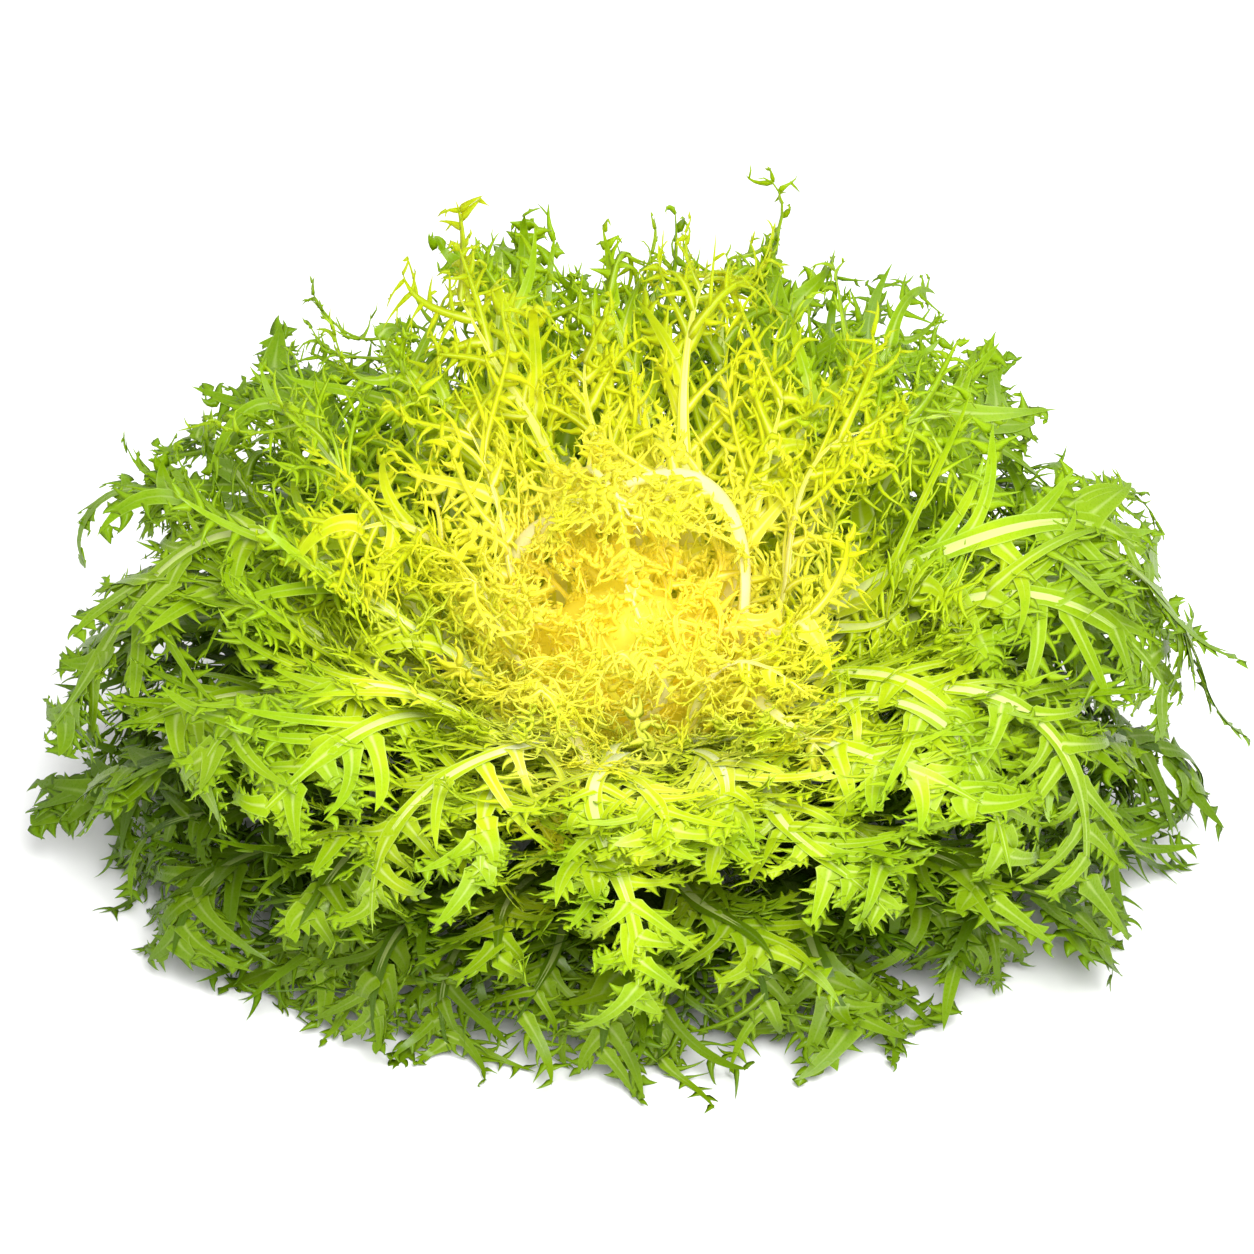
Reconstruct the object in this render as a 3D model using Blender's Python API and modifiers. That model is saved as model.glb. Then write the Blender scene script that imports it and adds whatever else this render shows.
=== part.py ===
"""Curly endive head: an open rosette of long lobed leaves on a short cut stem.

Metres, +Z up. The origin is the centre of the stem's cut face, which lies on the floor.
The head faces -Y: its heart leans to the front, and the leaves stand taller at the back.

The leaves grow in whorls. Each whorl lies on a cup of its own, a surface turned about Z
whose section is one Bezier curve, and the cups nest without touching. One smooth move of
the whole head, settle(), then gives it its lean, so leaves that were apart stay apart.
"""
import math

import bmesh
import bpy
import numpy as np

# Stem: the short root stock that the leaves grow from, cut flat below.
CUT_RADIUS = 0.0165
STEM_HEIGHT = 0.045
STEM_TOP_RADIUS = 0.0065
STEM_SIDES = 28

# Heart: the tight bud of unopened leaves that stands on the stem.
BUD_GAP = 0.0004
BUD_TOP = 0.093
BUD_RADIUS = 0.0150
BUD_LOBES = 7
BUD_LOBE_DEPTH = 0.09
BUD_SIDES = 42

# Leaf blade, shared by every whorl.
PETIOLE_SHARE = 0.26
PETIOLE_HALF_WIDTH = 0.0034
TIP_HALF_WIDTH = 0.0030
LOBE_DEPTH = 0.34
STATIONS = 17
BLADE_THINNING = 0.55
RUFFLE = 0.0016
SECTOR_FILL = 0.90
SHORTEST_REACH = 0.94
WHORL_TURN = math.radians(97.0)

# How the grown head settles on the floor.
FRONT_DROP = 0.28
FRONT_REACH = 0.84
BACK_REACH = 0.92
SPREAD_RADIUS = 0.070
LEAN = 0.053
LEAN_HEIGHT = 0.100
LEAN_FADE = 0.60
FADE_RADIUS = 0.140

# One row a whorl, outside first: name, leaf count, root (radius, height), root angle from
# vertical, root pull, tip (radius, height), tip angle, tip pull, blade half-width,
# petiole thickness, colour.
WHORLS = (
    ("outer_leaf", 13, (0.0195, 0.0105), 64, 0.072, (0.150, 0.0007), 168, 0.054, 0.0230,
     0.0038, (0.17, 0.30, 0.03)),
    ("skirt_leaf", 13, (0.0190, 0.0160), 52, 0.082, (0.150, 0.034), 162, 0.050, 0.0230,
     0.0038, (0.22, 0.36, 0.04)),
    ("middle_leaf", 11, (0.0180, 0.0215), 42, 0.086, (0.144, 0.066), 152, 0.044, 0.0225,
     0.0036, (0.29, 0.43, 0.05)),
    ("upper_leaf", 8, (0.0165, 0.0270), 33, 0.084, (0.126, 0.094), 138, 0.036, 0.0210,
     0.0032, (0.42, 0.52, 0.06)),
    ("inner_leaf", 7, (0.0145, 0.0325), 24, 0.078, (0.094, 0.112), 126, 0.030, 0.0170,
     0.0027, (0.62, 0.62, 0.07)),
    ("heart_leaf", 6, (0.0125, 0.0380), 12, 0.064, (0.053, 0.114), 112, 0.020, 0.0125,
     0.0022, (0.85, 0.74, 0.08)),
)
BUD_COLOUR = (0.90, 0.72, 0.05)
STEM_COLOUR = (0.80, 0.74, 0.52)
LEAF_ROUGHNESS = 0.45
STEM_ROUGHNESS = 0.60


def smoothstep(x):
    """0 below 0, 1 above 1, and 3x^2 - 2x^3 between."""
    x = np.clip(x, 0.0, 1.0)
    return x * x * (3.0 - 2.0 * x)


def settle(radius, azimuth, height):
    """Points of the settled head from growth coordinates; azimuth 0 is the front, -Y.

    Away from the stem the height falls at the front and rises at the back with the cosine
    of the azimuth, and the reach shortens front and back. Then the head leans forward by
    a half cosine of the height, so its foot stays flat on the floor, and the lean fades
    towards the rim.
    """
    away = smoothstep(radius / SPREAD_RADIUS)
    facing = np.cos(azimuth)
    height = height * (1.0 - FRONT_DROP * facing * away)
    reach = np.where(facing > 0.0, FRONT_REACH, BACK_REACH)
    radius = radius * (1.0 + (reach - 1.0) * facing ** 2 * away)
    lean = LEAN * 0.5 * (1.0 - np.cos(np.pi * np.clip(height / LEAN_HEIGHT, 0.0, 1.0)))
    lean = lean * (1.0 - LEAN_FADE * smoothstep(radius / FADE_RADIUS))
    return np.stack((radius * np.sin(azimuth), -radius * facing - lean, height), axis=-1)


def cup_curve(root, root_angle, root_pull, tip, tip_angle, tip_pull, t):
    """Radius and height along a cup's Bezier section at t, from the stem to the rim."""
    root = np.array(root)
    tip = np.array(tip)
    rise = math.radians(root_angle)
    fall = math.radians(tip_angle)
    first = root + root_pull * np.array((math.sin(rise), math.cos(rise)))
    second = tip - tip_pull * np.array((math.sin(fall), math.cos(fall)))
    t = np.asarray(t)[:, None]
    s = 1.0 - t
    point = s ** 3 * root + 3 * s * s * t * first + 3 * s * t * t * second + t ** 3 * tip
    return point[:, 0], point[:, 1]


def half_width(t, blade_half_width):
    """Half the leaf's width at t: a narrow petiole, then a blade with lobes and a tip.

    The blade swells as a half sine, and every second station is drawn in, which cuts the
    deep bays between the lobes.
    """
    along = np.clip((t - PETIOLE_SHARE) / (1.0 - PETIOLE_SHARE), 0.0, 1.0)
    swell = np.sin(np.pi * np.clip(0.08 + 0.84 * along, 0.0, 1.0)) ** 0.6
    width = PETIOLE_HALF_WIDTH + (blade_half_width - PETIOLE_HALF_WIDTH) * swell
    width = width + (TIP_HALF_WIDTH - width) * smoothstep((along - 0.80) / 0.20)
    lobes = np.where(np.arange(len(t)) % 2 == 0, 1.0 - LOBE_DEPTH, 1.0)
    width = np.where(along > 0.0, width * lobes, PETIOLE_HALF_WIDTH)
    width[-1] = TIP_HALF_WIDTH
    return width


def finish(name, colour, roughness):
    """A plain Principled material."""
    material = bpy.data.materials.new(name)
    material.use_nodes = True
    shader = material.node_tree.nodes["Principled BSDF"]
    shader.inputs["Base Color"].default_value = (*colour, 1.0)
    shader.inputs["Roughness"].default_value = roughness
    shader.inputs["Metallic"].default_value = 0.0
    return material


def add_object(name, mesh, material, collection):
    """Put a finished mesh in the head's collection, shaded smooth."""
    mesh.materials.append(material)
    mesh.shade_smooth()
    thing = bpy.data.objects.new(name, mesh)
    collection.objects.link(thing)
    return thing


def turned(name, profile, sides, lobe_count=0, lobe_depth=0.0):
    """A settled solid of revolution from a profile that runs down its outer side.

    The Screw modifier turns the profile. Each ring is then drawn in at lobe_count
    evenly spaced furrows, and the whole is settled with the rest of the head.
    """
    line = bpy.data.meshes.new(name + "_profile")
    points = [(radius, 0.0, height) for radius, height in profile]
    line.from_pydata(points, [(i, i + 1) for i in range(len(points) - 1)], [])
    spinner = bpy.data.objects.new(name + "_profile", line)
    bpy.context.scene.collection.objects.link(spinner)
    screw = spinner.modifiers.new("Turn", "SCREW")
    screw.steps = sides
    screw.render_steps = sides
    screw.use_merge_vertices = True
    screw.merge_threshold = 0.00001
    graph = bpy.context.evaluated_depsgraph_get()
    mesh = bpy.data.meshes.new_from_object(spinner.evaluated_get(graph))
    bpy.data.objects.remove(spinner)
    flat = np.empty(len(mesh.vertices) * 3)
    mesh.vertices.foreach_get("co", flat)
    x, y, z = flat.reshape(-1, 3).T
    azimuth = np.arctan2(x, -y)
    furrow = 1.0 - lobe_depth * np.sin(0.5 * lobe_count * azimuth) ** 2
    settled = settle(np.hypot(x, y) * furrow, azimuth, z)
    mesh.vertices.foreach_set("co", settled.ravel())
    mesh.name = name
    mesh.update()
    return mesh


def stem_profile():
    """From the tip of the stem down its side to the middle of the cut face."""
    share = np.linspace(1.0, 0.0, 10)
    radius = STEM_TOP_RADIUS + (CUT_RADIUS - STEM_TOP_RADIUS) * (1.0 - share ** 1.5) ** 0.8
    side = list(zip(radius, share * STEM_HEIGHT))
    return [(0.0, STEM_HEIGHT)] + side + [(0.0, 0.0)]


def bud_profile():
    """A bud's half outline, pole to pole: widest above its middle, drawn in at the foot."""
    foot = STEM_HEIGHT + BUD_GAP
    share = np.linspace(1.0, 0.0, 13)
    swell = np.sin(np.pi * share ** 1.25) ** 0.75
    ends = (share > 0.0) & (share < 1.0)
    radius = np.where(ends, BUD_RADIUS * swell, 0.0)
    return list(zip(radius, foot + share * (BUD_TOP - foot)))


def leaf_mesh(name, whorl, azimuth, reach, turn_of_wave):
    """The leaf's middle surface: STATIONS rows by three columns on its cup.

    A row holds the two edges and the midrib. Edges ripple off the cup by a sine along
    the leaf, opposite on its two sides.
    """
    count, root, root_angle, root_pull, tip, tip_angle, tip_pull, blade = whorl[1:9]
    t = np.linspace(0.0, reach, STATIONS)
    radius, height = cup_curve(root, root_angle, root_pull, tip, tip_angle, tip_pull, t)
    slope = np.arctan2(np.gradient(height), np.gradient(radius))
    spread = half_width(t / reach, blade) / radius
    spread = np.minimum(spread, SECTOR_FILL * math.pi / count)
    side = np.array((-1.0, 0.0, 1.0))
    blade_share = smoothstep((t / reach - PETIOLE_SHARE) / 0.3)
    ripple = RUFFLE * blade_share * np.sin(2.0 * np.pi * 3.0 * t + turn_of_wave)
    lift = ripple[:, None] * side[None, :]
    radius = radius[:, None] - lift * np.sin(slope)[:, None]
    height = height[:, None] + lift * np.cos(slope)[:, None]
    points = settle(radius, azimuth + spread[:, None] * side[None, :], height)
    form = bmesh.new()
    bmesh.ops.create_grid(form, x_segments=2, y_segments=STATIONS - 1, size=1.0)
    form.verts.ensure_lookup_table()
    order = sorted(form.verts, key=lambda v: (round(v.co.y, 4), round(v.co.x, 4)))
    for vertex, point in zip(order, points.reshape(-1, 3)):
        vertex.co = point
    form.verts.index_update()
    rows = [0.0] * len(order)
    for place, vertex in enumerate(order):
        rows[vertex.index] = (place // 3) / (STATIONS - 1)
    mesh = bpy.data.meshes.new(name)
    form.to_mesh(mesh)
    form.free()
    return mesh, rows


def add_leaf(name, whorl, azimuth, reach, turn_of_wave, material, collection):
    """One leaf: its middle surface thickened both ways, thick petiole and thin blade."""
    mesh, rows = leaf_mesh(name, whorl, azimuth, reach, turn_of_wave)
    leaf = add_object(name, mesh, material, collection)
    group = leaf.vertex_groups.new(name="thickness")
    for index, row in enumerate(rows):
        thinning = BLADE_THINNING * float(smoothstep(row / 0.5))
        group.add([index], 1.0 - thinning, "REPLACE")
    wall = leaf.modifiers.new("Thickness", "SOLIDIFY")
    wall.thickness = whorl[9]
    wall.offset = 0.0
    wall.vertex_group = group.name
    return leaf


def add_whorl(rank, whorl, chance, collection):
    """All leaves of a whorl, evenly round the stem, each with its own length and ripple.

    The outermost whorl keeps its full length, so that all its tips rest on the floor.
    """
    name, count = whorl[:2]
    material = finish(name, whorl[10], LEAF_ROUGHNESS)
    for i in range(count):
        azimuth = rank * WHORL_TURN + 2.0 * math.pi * i / count
        reach = 1.0 if rank == 0 else chance.uniform(SHORTEST_REACH, 1.0)
        wave = chance.uniform(0.0, 2.0 * math.pi)
        add_leaf(f"{name}_{i + 1:02d}", whorl, azimuth, reach, wave, material, collection)


def build():
    """The whole head: stem, bud and six whorls of leaves."""
    for thing in list(bpy.data.objects):
        bpy.data.objects.remove(thing)
    head = bpy.data.collections.new("curly_endive_head")
    bpy.context.scene.collection.children.link(head)
    stem = turned("stem_base", stem_profile(), STEM_SIDES)
    add_object("stem_base", stem, finish("cut_stem", STEM_COLOUR, STEM_ROUGHNESS), head)
    bud = turned("heart_bud", bud_profile(), BUD_SIDES, BUD_LOBES, BUD_LOBE_DEPTH)
    add_object("heart_bud", bud, finish("bud", BUD_COLOUR, LEAF_ROUGHNESS), head)
    chance = np.random.default_rng(7)
    for rank, whorl in enumerate(WHORLS):
        add_whorl(rank, whorl, chance, head)


build()
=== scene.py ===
"""Curly endive head: frilled leaves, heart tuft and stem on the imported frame.

Every leaf is grown flat, as a tree of tapering lobes along a midrib, and then laid on the
cup that its own solid follows. A lobe is a thin closed strip: a lens-shaped section carried
along a curling spine. All lobes of one order on one leaf are worked out together as numpy
arrays. Lengths are in metres.
"""
import math
from collections import namedtuple

import bpy
import numpy as np
from bpy.props import FloatProperty, FloatVectorProperty, PointerProperty
from bpy.types import Operator, Panel, PropertyGroup
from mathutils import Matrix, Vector


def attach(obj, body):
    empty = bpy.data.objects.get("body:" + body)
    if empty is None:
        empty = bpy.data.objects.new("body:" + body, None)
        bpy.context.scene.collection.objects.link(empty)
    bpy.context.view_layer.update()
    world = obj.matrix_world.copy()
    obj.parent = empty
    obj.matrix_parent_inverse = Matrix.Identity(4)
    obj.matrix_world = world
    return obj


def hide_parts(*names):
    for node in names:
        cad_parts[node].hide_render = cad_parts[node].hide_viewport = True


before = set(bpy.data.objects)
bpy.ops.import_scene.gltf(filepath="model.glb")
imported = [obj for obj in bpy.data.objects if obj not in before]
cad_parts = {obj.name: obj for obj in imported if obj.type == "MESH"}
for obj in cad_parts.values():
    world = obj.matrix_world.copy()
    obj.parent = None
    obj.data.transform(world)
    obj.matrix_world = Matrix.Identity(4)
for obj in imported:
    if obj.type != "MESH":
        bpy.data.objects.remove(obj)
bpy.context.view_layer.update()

bl_info = {
    "name": "Curly Endive Head",
    "version": (1, 0, 0),
    "blender": (4, 5, 0),
    "location": "3D View > Sidebar > Endive",
    "description": "Grows a head of curly endive on its packed frame",
    "category": "Add Mesh",
}

# The head's growth, the same as its solids: a whorl's leaves lie on one cup, turned about Z.
WHORL_TURN = math.radians(97.0)
GOLDEN_ANGLE = math.radians(137.508)
SHORTEST_REACH = 0.94
PLAN_SEED = 7
LEAF_SEED = 100
TUFT_SEED = 99

# How the grown head settles: see settle().
FRONT_DROP = 0.28
FRONT_REACH = 0.84
BACK_REACH = 0.92
SPREAD_RADIUS = 0.070
LEAN = 0.053
LEAN_HEIGHT = 0.100
LEAN_FADE = 0.60
FADE_RADIUS = 0.140
FLOOR_PRESS = 0.004
HEART_CENTRE = np.array((0.0, -0.053, 0.092))

# A cup's section is a Bezier curve of (radius, height) from the stem to the rim. Its ends
# head away from upright by the angles (degrees), with pulls along those headings.
Cup = namedtuple("Cup", "root root_angle root_pull tip tip_angle tip_pull")
# A whorl's leaves: the share of the cup's length that a midrib fills; where along it the
# lobes begin; lobes a side, lobelets a side of each lobe, thorns on each lobelet; longest
# lobe; breadth of the lobes (0 threads, 1 broad blades) at the leaf's foot and end; how far
# lobes leave the leaf's plane; midrib half-width; age, which darkens the leaf's foot: partly
# the old leaf's own darker green, partly painted shade under the leaves above.
Whorl = namedtuple("Whorl", "name count cup share first lobes lobelets thorns length breadth "
                            "crisp rib age")
WHORLS = (
    Whorl("outer_leaf", 13, Cup((0.0195, 0.0105), 64, 0.072, (0.150, 0.0007), 168, 0.054),
          0.90, 0.32, 11, 4, 0, 0.037, (0.30, 1.00), 0.80, 0.0036, 0.90),
    Whorl("skirt_leaf", 13, Cup((0.0190, 0.0160), 52, 0.082, (0.150, 0.034), 162, 0.050),
          0.87, 0.30, 11, 4, 0, 0.040, (0.25, 1.00), 0.85, 0.0036, 0.70),
    Whorl("middle_leaf", 11, Cup((0.0180, 0.0215), 42, 0.086, (0.144, 0.066), 152, 0.044),
          0.85, 0.26, 11, 5, 1, 0.041, (0.20, 0.95), 1.15, 0.0036, 0.25),
    Whorl("upper_leaf", 8, Cup((0.0165, 0.0270), 33, 0.084, (0.126, 0.094), 138, 0.036),
          0.79, 0.22, 11, 5, 1, 0.038, (0.10, 0.75), 1.30, 0.0036, 0.06),
    Whorl("inner_leaf", 7, Cup((0.0145, 0.0325), 24, 0.078, (0.094, 0.112), 126, 0.030),
          0.82, 0.20, 12, 5, 1, 0.033, (0.00, 0.30), 1.30, 0.0034, 0.00),
    Whorl("heart_leaf", 6, Cup((0.0125, 0.0380), 12, 0.064, (0.053, 0.114), 112, 0.020),
          0.92, 0.20, 12, 5, 1, 0.029, (0.00, 0.06), 1.05, 0.0028, 0.00),
)
OUTERMOST = 0
HEARTMOST = 5
MAIN_OUTWARDS = (0.0, 0.25)

# Fillers: lacy leaves half-way to the next leaf, part of the way to the cup outside.
FILLER_SHARE = 0.97
FILLER_BREADTH = 0.45
FILLER_FALL = 1.35
FILLER_OUTWARDS = (0.35, 0.85)

# Over leaves stand in the fillers' place on the front half of these whorls. They arch over
# the other leaves and hang down the outside.
OVER_RANKS = (1, 2, 3, 4)
OVER_FACING = 0.0
OVER_CUP = Cup((0.0155, 0.0300), 20, 0.125, (0.150, 0.020), 172, 0.100)
OVER_OUTWARDS = (0.0, 0.25)
OVER_SHARE = (0.62, 0.95)
OVER_SHAPE = {"first": 0.20, "lobes": 12, "length": 0.036, "breadth": (0.25, 0.90),
              "lobelets": 5, "crisp": 0.75, "rib": 0.0029, "age": 0.0}

# Bowed leaves: bare, thick-ribbed leaves beside the heart leaves. Those in front bow
# forwards, the others cross over the heart.
BOWED_FACING = 0.2
BOWED_FORWARDS = Cup((0.0140, 0.0400), 16, 0.078, (0.092, 0.078), 158, 0.036)
BOWED_ACROSS = Cup((0.0290, 0.0520), 2, 0.062, (-0.022, 0.119), 246, 0.040)
BOWED_STRAY = 0.25
BOWED_SHARE = (0.75, 1.0)
BOWED_SHAPE = {"rib": 0.0042, "first": 0.40, "length": 0.020, "lobes": 9}

# Low leaves under the outermost ones; the second of a pair is left out at the back.
LOW_CUP = Cup((0.0195, 0.0105), 70, 0.060, (0.130, 0.0007), 168, 0.045)
LOW_SHARES = (1.0, 0.92)
LOW_FACING = -0.2

Spines = namedtuple("Spines", "point ahead across face")
Lobes = namedtuple("Lobes", "spines half length broad along")
# How an order of lobes leaves its parent: stations; angle from the heading (degrees) and how
# much less at the parent's tip; the share that leaves downwards; the reach of lift, bend,
# curl, sweep and twist (radians). How it is cut: half-widths of the foot, waist and blade,
# each for threads and for broad blades. Last, its vein mark.
Order = namedtuple("Order", "stations angle forward sag lift bend curl sweep twist "
                            "foot waist blade vein")
LOBE = Order(13, (40.0, 76.0), 20.0, 0.75, 0.70, 1.3, 0.7, (-1.3, 1.0), 0.5,
             (0.0016, 0.0042), (0.00085, 0.0023), (0.00085, 0.0026), 1.0)
LOBELET = Order(6, (50.0, 85.0), 16.0, 0.5, 0.60, 1.3, 0.8, (-1.2, 1.5), 0.5,
                (0.0010, 0.0021), (0.00044, 0.0008), (0.00042, 0.0007), 0.55)
THORN = Order(3, (50.0, 80.0), 0.0, 0.5, 0.4, 0.9, 0.5, (-0.6, 0.9), 0.3,
              (0.0006, 0.0010), (0.00028, 0.0004), (0.00022, 0.0003), 0.2)


class EndiveHead(PropertyGroup):
    """Sizes and colours that a user would change."""
    leaf_reach: FloatProperty(
        name="Leaf Reach", description="Scale of every midrib's length", default=1.0,
        min=0.6, max=1.2)
    lobe_scale: FloatProperty(
        name="Lobe Scale", description="Scale of every lobe's length", default=1.0,
        min=0.3, max=1.5)
    crispness: FloatProperty(
        name="Crispness", description="How far lobes curl out of their leaf's plane",
        default=1.0, min=0.0, max=2.0)
    wander: FloatProperty(
        name="Wander", description="How far midribs stray from their solids",
        default=0.007, min=0.0, max=0.02, unit="LENGTH")
    lamina_thickness: FloatProperty(
        name="Lamina Thickness", description="Thickness of the midrib's lamina",
        default=0.0005, min=0.0002, max=0.002, unit="LENGTH")
    heart_colour: FloatVectorProperty(
        name="Heart", description="Leaf colour in the heart", subtype="COLOR", size=3,
        default=(1.00, 0.93, 0.130), min=0.0, max=1.0)
    inner_colour: FloatVectorProperty(
        name="Inner Leaves", description="Leaf colour round the heart", subtype="COLOR",
        size=3, default=(0.60, 0.72, 0.006), min=0.0, max=1.0)
    middle_colour: FloatVectorProperty(
        name="Middle Leaves", description="Leaf colour half way out", subtype="COLOR",
        size=3, default=(0.30, 0.49, 0.003), min=0.0, max=1.0)
    outer_colour: FloatVectorProperty(
        name="Outer Leaves", description="Leaf colour at the rim", subtype="COLOR",
        size=3, default=(0.165, 0.33, 0.0015), min=0.0, max=1.0)
    # Painted shade, in part: the old leaves' own dark green, also used as the shade under the
    # outer leaves and near the floor.
    old_and_shaded_colour: FloatVectorProperty(
        name="Shaded Leaves", description="Leaf colour deep under the outer leaves",
        subtype="COLOR", size=3, default=(0.055, 0.12, 0.001), min=0.0, max=1.0)
    stem_colour: FloatVectorProperty(
        name="Stem", description="Colour of the root stock's flesh", subtype="COLOR",
        size=3, default=(0.78, 0.72, 0.44), min=0.0, max=1.0)
    floor_colour: FloatVectorProperty(
        name="Floor", description="Colour of the studio floor", subtype="COLOR",
        size=3, default=(0.95, 0.95, 0.95), min=0.0, max=1.0)


def user():
    """The sizes and colours set in the sidebar."""
    return bpy.context.scene.endive_head


def smoothstep(x):
    """0 below 0, 1 above 1, and 3x^2 - 2x^3 between."""
    x = np.clip(x, 0.0, 1.0)
    return x * x * (3.0 - 2.0 * x)


def blend(sizes, share):
    """The first of two sizes at share 0, the second at share 1, in proportion between."""
    return sizes[0] + (sizes[1] - sizes[0]) * share


def unit(vectors):
    """The vectors of the last axis, each divided by its length."""
    return vectors / np.linalg.norm(vectors, axis=-1, keepdims=True)


def settle(radius, azimuth, height):
    """Points of the settled head from growth coordinates; azimuth 0 is the front, -Y.

    Away from the stem the height falls at the front and rises at the back with the cosine
    of the azimuth, and the reach shortens front and back. Then the head leans forward by
    a half cosine of the height, and the lean fades towards the rim.
    """
    away = smoothstep(radius / SPREAD_RADIUS)
    facing = np.cos(azimuth)
    height = height * (1.0 - FRONT_DROP * facing * away)
    reach = np.where(facing > 0.0, FRONT_REACH, BACK_REACH)
    radius = radius * (1.0 + (reach - 1.0) * facing ** 2 * away)
    lean = LEAN * 0.5 * (1.0 - np.cos(np.pi * np.clip(height / LEAN_HEIGHT, 0.0, 1.0)))
    lean = lean * (1.0 - LEAN_FADE * smoothstep(radius / FADE_RADIUS))
    return np.stack((radius * np.sin(azimuth), -radius * facing - lean, height), axis=-1)


# --- Cups ---

SECTION_POINTS = 257
DROOP = 13.0


def cup_curve(cup, t):
    """Radius and height along a cup's Bezier section at t, from the stem to the rim."""
    root = np.array(cup.root)
    tip = np.array(cup.tip)
    rise = math.radians(cup.root_angle)
    fall = math.radians(cup.tip_angle)
    first = root + cup.root_pull * np.array((math.sin(rise), math.cos(rise)))
    second = tip - cup.tip_pull * np.array((math.sin(fall), math.cos(fall)))
    t = t[:, None]
    s = 1.0 - t
    point = s ** 3 * root + 3 * s * s * t * first + 3 * s * t * t * second + t ** 3 * tip
    return point[:, 0], point[:, 1]


def cup_section(cup):
    """Running length, radius, height and slope along a cup's section."""
    radius, height = cup_curve(cup, np.linspace(0.0, 1.0, SECTION_POINTS))
    run = np.concatenate(((0.0,), np.cumsum(np.hypot(np.diff(radius), np.diff(height)))))
    slope = np.unwrap(np.arctan2(np.gradient(height), np.gradient(radius)))
    return run, radius, height, slope


def cup_length(cup):
    """The length of a cup's section."""
    return cup_section(cup)[0][-1]


def between(cup, other, share):
    """The cup a share of the way from one to another."""
    root_radius, root_height, root_angle, root_pull, tip_radius, tip_height, tip_angle, \
        tip_pull = (1.0 - share) * np.hstack(cup) + share * np.hstack(other)
    return Cup((root_radius, root_height), root_angle, root_pull, (tip_radius, tip_height),
               tip_angle, tip_pull)


def drape(points, cup, azimuth):
    """Points of a leaf grown flat, laid on its cup at one azimuth and settled.

    Flat, x runs along the leaf, y across it and z off its upper side; z first droops by
    a constant times y squared. On the cup the section's radius r, height h and slope a are
    read at the length x; past the rim the section runs straight on. The point goes to
    height h + z cos a, out to r - z sin a and straight sideways by y.
    """
    run, radius, height, slope = cup_section(cup)
    x, y, z = points.T
    z = z - DROOP * y * y
    past = np.maximum(x - run[-1], 0.0)
    a = np.interp(x, run, slope)
    r = np.interp(x, run, radius) + past * np.cos(a)
    h = np.interp(x, run, height) + past * np.sin(a)
    out = r - z * np.sin(a)
    return settle(np.hypot(out, y), azimuth + np.arctan2(y, out), h + z * np.cos(a))


# --- Spines ---

MIDRIB_STATIONS = 48
WANDER_FULL = 0.6
SWING_WAVES = (0.7, 1.4)
HEAVE_WAVES = (0.8, 1.6)
HEAVE_SHARE = 0.6
ROLL = 0.4
ROLL_START = 0.2
LIFTS = (0.0, 1.0)
BENDS = (0.2, 1.4)
BROAD_STIFFNESS = 0.88
HIDDEN_SHARE = 0.85
# How deep lobes start under the middle of their parents, threads and broad blades.
SINK = (0.0002, 0.0003)


def midrib(length, stations, wander, chance):
    """The frames along one flat leaf's midrib, which wanders sideways and off the plane.

    Both are slow sines that grow from nothing at the foot; the leaf also rolls a little.
    """
    s = np.linspace(0.0, 1.0, stations)
    grown = wander * smoothstep(s / WANDER_FULL)
    swing = np.sin(2.0 * np.pi * (s * chance.uniform(*SWING_WAVES) + chance.uniform()))
    heave = np.sin(2.0 * np.pi * (s * chance.uniform(*HEAVE_WAVES) + chance.uniform()))
    point = np.stack((length * s, grown * swing, HEAVE_SHARE * grown * heave), axis=-1)
    ahead = unit(np.gradient(point, axis=0))
    side = np.array((0.0, 1.0, 0.0))
    side = unit(side - (ahead @ side)[:, None] * ahead)
    face = np.cross(ahead, side)
    rolled = smoothstep((s - ROLL_START) / (1.0 - ROLL_START))[:, None]
    roll = chance.uniform(-ROLL, ROLL) * rolled
    across = np.cos(roll) * side + np.sin(roll) * face
    face = np.cross(ahead, across)
    return Spines(point[None], ahead[None], across[None], face[None])


def grow(root, ahead, across, length, bend, curl, sweep, twist, stations):
    """Spines of many lobes at once, each from its root, heading ahead.

    Along a lobe the heading turns sideways by sweep times s and out of its plane by bend
    times s plus curl times s squared; the strip rolls round the heading by twist times s.
    The spine is the running sum of the headings.
    """
    s = np.linspace(0.0, 1.0, stations)[None, :]
    face = np.cross(ahead, across)[:, None]
    yaw = (sweep[:, None] * s)[..., None]
    pitch = (bend[:, None] * s + curl[:, None] * s * s)[..., None]
    roll = (twist[:, None] * s)[..., None]
    ahead = ahead[:, None]
    across = across[:, None]
    heading = np.cos(pitch) * (np.cos(yaw) * ahead + np.sin(yaw) * across)
    heading = heading + np.sin(pitch) * face
    level = np.cos(yaw) * across - np.sin(yaw) * ahead
    upright = np.cross(heading, level)
    side = np.cos(roll) * level + np.sin(roll) * upright
    step = length[:, None, None] / (stations - 1)
    run = np.cumsum(0.5 * (heading[:, 1:] + heading[:, :-1]) * step, axis=1)
    point = root[:, None] + np.concatenate((np.zeros_like(run[:, :1]), run), axis=1)
    return Spines(point, heading, side, np.cross(heading, side))


def station_at(where, stations):
    """The station nearest to each place along a spine."""
    return np.clip(np.rint(where * (stations - 1)).astype(int), 0, stations - 1)


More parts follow.
